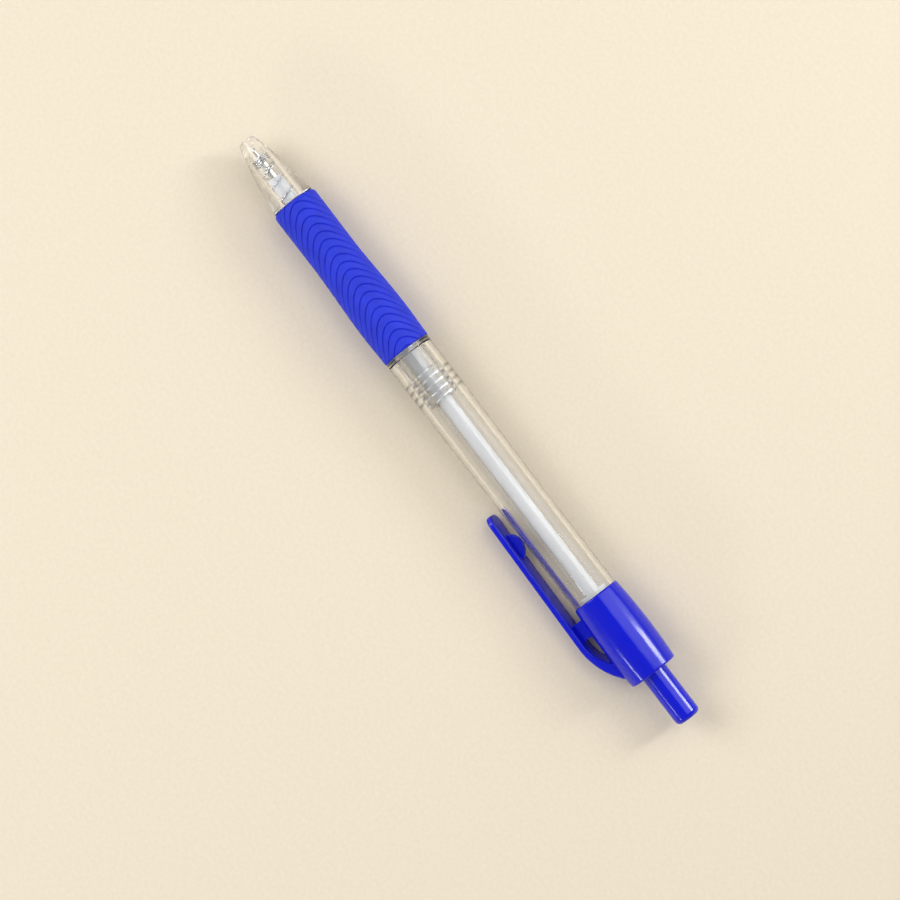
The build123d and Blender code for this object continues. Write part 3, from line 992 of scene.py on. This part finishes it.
class PEN_OT_refill(bpy.types.Operator):
    """Make the ink tube and the writing tip, and finish the ink and the ball"""

    bl_idname = "pen.refill"
    bl_label = "Refill"

    def execute(self, context):
        shape = context.scene.pen_shape
        colours = context.scene.pen_colours
        collar_radius = girth("refill_tube")
        tube = eased(
            [
                (tube_front, TUBE_BORE_RADIUS, 0),
                (tube_front, TUBE_RADIUS, TUBE_NOSE_ROUNDING),
                (COLLAR_PLACE, TUBE_RADIUS, 0),
                (COLLAR_PLACE, collar_radius, COLLAR_ROUNDING),
                (COLLAR_PLACE + COLLAR_LENGTH, collar_radius, COLLAR_ROUNDING),
                (COLLAR_PLACE + COLLAR_LENGTH, TUBE_RADIUS, 0),
                (tube_end, TUBE_RADIUS, 0),
                (tube_end, TUBE_BORE_RADIUS, 0),
            ]
        )
        points, faces = turned(tube, shape.turning_steps)
        tube_piece = new_piece("ink_tube", points, faces, refill_plastic(colours))
        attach(tube_piece, "refill")
        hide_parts("refill_tube")

        nozzle_end = nozzle_front + NOZZLE_LENGTH
        cone_end = nozzle_end + TIP_CONE_LENGTH
        neck = cone_end + TIP_NECK_PLACE
        ball_place = nozzle_front + BALL_SOCKET_PLACE
        lip_angle = math.acos(-BALL_SOCKET_PLACE / BALL_SOCKET_RADIUS)
        duct_angle = math.asin(INK_DUCT_RADIUS / BALL_SOCKET_RADIUS)
        socket = [
            (
                ball_place + BALL_SOCKET_RADIUS * math.cos(angle),
                BALL_SOCKET_RADIUS * math.sin(angle),
                0,
            )
            for angle in spread(duct_angle, lip_angle, BALL_SOCKET_STEPS)
        ]
        tip = eased(
            [
                *socket,
                (nozzle_front, NOZZLE_LIP_RADIUS, 0),
                (nozzle_end, NOZZLE_RADIUS, TIP_EDGE),
                (cone_end, TIP_BODY_RADIUS, TIP_EDGE),
                (neck, TIP_BODY_RADIUS, TIP_EDGE),
                (neck + TIP_NECK_WIDTH / 2, TIP_BODY_RADIUS - TIP_NECK_DEPTH, TIP_EDGE),
                (neck + TIP_NECK_WIDTH, TIP_BODY_RADIUS, TIP_EDGE),
                (tube_front, TIP_BODY_RADIUS, 0),
                (tube_front, TIP_SHANK_RADIUS, 0),
                (shank_end, TIP_SHANK_RADIUS, TIP_EDGE),
                (shank_end, INK_DUCT_RADIUS, 0),
            ]
        )
        points, faces = turned(tip, shape.turning_steps)
        finish = metal(
            "tip_metal_turned",
            colours.tip,
            low=0.06,
            high=0.16,
            grain_size=0.05 * MM,
            grain_stretch=(1, 14, 14),
        )
        tip_piece = new_piece("metal_tip", points, faces, finish)
        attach(tip_piece, "refill")
        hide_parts("writing_tip")

        ball_finish = metal(
            "ball_metal_ground",
            colours.ball,
            low=0.1,
            high=0.22,
            grain_size=0.06 * MM,
            grain_stretch=(1, 1, 1),
        )
        repaint("writing_ball", ball_finish)
        repaint("ink_column", wet_ink(colours))
        return {"FINISHED"}


class PEN_OT_spring(bpy.types.Operator):
    """Wind the return spring between the nose and the refill's collar"""

    bl_idname = "pen.spring"
    bl_label = "Return spring"

    def execute(self, context):
        shape = context.scene.pen_shape
        wire = shape.wire_thickness / 2
        rise = spring_end - spring_front - 2 * wire
        ramps = SPRING_RAMP_TURNS * SPRING_CLOSED_PITCH
        closed = 2 * SPRING_CLOSED_TURNS * SPRING_CLOSED_PITCH
        open_pitch = (rise - closed - ramps) / (SPRING_OPEN_TURNS + SPRING_RAMP_TURNS)
        total = 2 * (SPRING_CLOSED_TURNS + SPRING_RAMP_TURNS) + SPRING_OPEN_TURNS
        steps = round(total * SPRING_STEPS_A_TURN)
        loops = []
        station = spring_front + wire
        for step in range(steps + 1):
            turn = total * step / steps
            pitch = self.pitch(turn, total, open_pitch)
            loops.append(self.wire_loop(station, SPRING_START_ANGLE + math.tau * turn, pitch, wire))
            next_pitch = self.pitch(turn + total / steps, total, open_pitch)
            station += (pitch + next_pitch) / 2 * total / steps
        points, faces = lofted(loops)
        finish = metal(
            "spring_steel_drawn",
            context.scene.pen_colours.steel,
            low=0.08,
            high=0.2,
            grain_size=0.03 * MM,
            grain_stretch=(1, 6, 6),
        )
        spring = new_piece("wire_spring", points, faces, finish)
        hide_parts("return_spring")
        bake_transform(spring)
        return {"FINISHED"}

    def pitch(self, turn, total, open_pitch):
        """Rise a turn: close at both ends of the spring and open between them."""
        from_end = min(turn, total - turn) - SPRING_CLOSED_TURNS
        opening = min(max(from_end / SPRING_RAMP_TURNS, 0), 1)
        return SPRING_CLOSED_PITCH + (open_pitch - SPRING_CLOSED_PITCH) * opening

    def wire_loop(self, station, angle, pitch, wire):
        """Round section of the wire, square to the winding."""
        centre = on_pen(station, COIL_RADIUS, angle)
        outward = (on_pen(station, 1, angle) - on_pen(station, 0, angle)).normalized()
        turning = Vector((1, 0, 0)).cross(outward)
        way = (turning * math.tau * COIL_RADIUS + Vector((pitch, 0, 0))).normalized()
        across = way.cross(outward)
        return [
            centre + outward * wire * math.cos(side) + across * wire * math.sin(side)
            for side in spread(0, math.tau, WIRE_SIDES)[:-1]
        ]


class PEN_OT_stage(bpy.types.Operator):
    """Make the floor, the lamps, the room's light and the camera"""

    bl_idname = "pen.stage"
    bl_label = "Stage"

    FLOOR_SIZE = 6.0
    LAMP_DISTANCE = 0.62
    SOFT_WAY = (0.0, 0.67, 0.74)
    SOFT_SIZE = (0.36, 0.8)
    BRIGHT_WAY = (0.18, 0.83, 0.53)
    BRIGHT_SIZE = (0.09, 0.2)
    FILL_WAY = (0.0, 0.0, 1.0)
    FILL_SIZE = (0.9, 0.9)
    SIDE_WAY = (-0.55, -0.5, 0.67)
    SIDE_SIZE = (0.4, 0.35)
    STRIP_WAY = (0.35, -0.88, 0.33)
    STRIP_SIZE = (0.25, 0.05)

    def execute(self, context):
        stage = context.scene.pen_stage
        self.floor(context, stage)
        self.lamp(context, "soft_lamp", stage.soft_power, self.SOFT_WAY, self.SOFT_SIZE)
        self.lamp(context, "bright_lamp", stage.bright_power, self.BRIGHT_WAY, self.BRIGHT_SIZE)
        self.lamp(context, "side_lamp", stage.side_power, self.SIDE_WAY, self.SIDE_SIZE)
        self.lamp(context, "strip_lamp", stage.strip_power, self.STRIP_WAY, self.STRIP_SIZE)
        fill = self.lamp(context, "fill_lamp", stage.fill_power, self.FILL_WAY, self.FILL_SIZE)
        fill.visible_glossy = False
        self.room_light(context, stage)
        self.camera(context, stage)
        context.scene.view_settings.view_transform = "Standard"
        return {"FINISHED"}

    def floor(self, context, stage):
        """A wide plain floor at the height that the pen lies on."""
        half = self.FLOOR_SIZE / 2
        mesh = bpy.data.meshes.new("floor")
        corners = [(-half, -half, 0), (half, -half, 0), (half, half, 0), (-half, half, 0)]
        mesh.from_pydata(corners, [], [(0, 1, 2, 3)])
        material, tree, shader = new_finish("floor_paper")
        set_inputs(shader, specular_ior_level=0.2)
        mottled(tree, shader, noise(tree, size=0.8 * MM, detail=4), stage.floor_colour, change=0.025)
        roughened(tree, shader, noise(tree, size=0.5 * MM), low=0.8, high=0.95)
        mesh.materials.append(material)
        floor = bpy.data.objects.new("floor", mesh)
        context.scene.collection.objects.link(floor)

    def lamp(self, context, name, power, way, size):
        """A flat soft lamp that stands in a direction from the pen and is turned towards it."""
        light = bpy.data.lights.new(name, "AREA")
        light.energy = power
        light.shape = "RECTANGLE"
        light.size, light.size_y = size
        lamp = bpy.data.objects.new(name, light)
        back = Vector(way).normalized()
        lamp.location = back * self.LAMP_DISTANCE
        lamp.rotation_euler = back.to_track_quat("Z", "Y").to_euler()
        context.scene.collection.objects.link(lamp)
        return lamp

    def room_light(self, context, stage):
        """Even light from all round, stronger at the walls than at the ceiling."""
        world = bpy.data.worlds.new("room")
        context.scene.world = world
        world.use_nodes = True
        tree = world.node_tree
        place = tree.nodes.new("ShaderNodeTexCoord")
        parts = tree.nodes.new("ShaderNodeSeparateXYZ")
        height = tree.nodes.new("ShaderNodeMapRange")
        height.inputs["To Min"].default_value = stage.wall_strength
        height.inputs["To Max"].default_value = stage.ceiling_strength
        tree.links.new(place.outputs["Generated"], parts.inputs["Vector"])
        tree.links.new(parts.outputs["Z"], height.inputs["Value"])
        room = tree.nodes["Background"]
        room.inputs["Color"].default_value = (1, 1, 1, 1)
        tree.links.new(height.outputs["Result"], room.inputs["Strength"])

    def camera(self, context, stage):
        """A long lens almost straight above the pen, as in the photograph."""
        view = bpy.data.cameras.new("camera")
        view.lens = stage.focal_length
        camera = bpy.data.objects.new("camera", view)
        picture_up = Vector((math.cos(stage.heading), math.sin(stage.heading), 0))
        back = Vector((0, 0, math.cos(stage.tilt))) - picture_up * math.sin(stage.tilt)
        right = picture_up.cross(back).normalized()
        turn = Matrix((right, back.cross(right), back)).transposed()
        place = Vector(stage.aim) + back * stage.distance
        camera.matrix_world = Matrix.Translation(place) @ turn.to_4x4()
        context.scene.collection.objects.link(camera)
        context.scene.camera = camera


class PEN_PT_pieces(bpy.types.Panel):
    """Lists the pieces of the pen"""

    bl_label = "Retractable Pen"
    bl_idname = "PEN_PT_pieces"
    bl_space_type = "VIEW_3D"
    bl_region_type = "UI"
    bl_category = "Pen"

    def draw(self, context):
        for operator in OPERATORS:
            self.layout.operator(operator.bl_idname)
        for settings in (context.scene.pen_shape, context.scene.pen_colours, context.scene.pen_stage):
            box = self.layout.box()
            for name in settings.__annotations__:
                box.prop(settings, name)


SETTINGS = {"pen_shape": PenShape, "pen_colours": PenColours, "pen_stage": PenStage}
OPERATORS = (
    PEN_OT_stage,
    PEN_OT_front_barrel,
    PEN_OT_grip,
    PEN_OT_rear_barrel,
    PEN_OT_cap_and_button,
    PEN_OT_clip,
    PEN_OT_refill,
    PEN_OT_spring,
)


def register():
    """Adds the settings, the operators and the panel."""
    for name, settings in SETTINGS.items():
        bpy.utils.register_class(settings)
        setattr(bpy.types.Scene, name, PointerProperty(type=settings))
    for operator in OPERATORS:
        bpy.utils.register_class(operator)
    bpy.utils.register_class(PEN_PT_pieces)


def unregister():
    """Takes away what register added."""
    bpy.utils.unregister_class(PEN_PT_pieces)
    for operator in reversed(OPERATORS):
        bpy.utils.unregister_class(operator)
    for name, settings in reversed(SETTINGS.items()):
        delattr(bpy.types.Scene, name)
        bpy.utils.unregister_class(settings)


def main():
    """Makes every piece in order."""
    register()
    for operator in OPERATORS:
        group, action = operator.bl_idname.split(".")
        getattr(getattr(bpy.ops, group), action)()


if __name__ == "__main__":
    main()
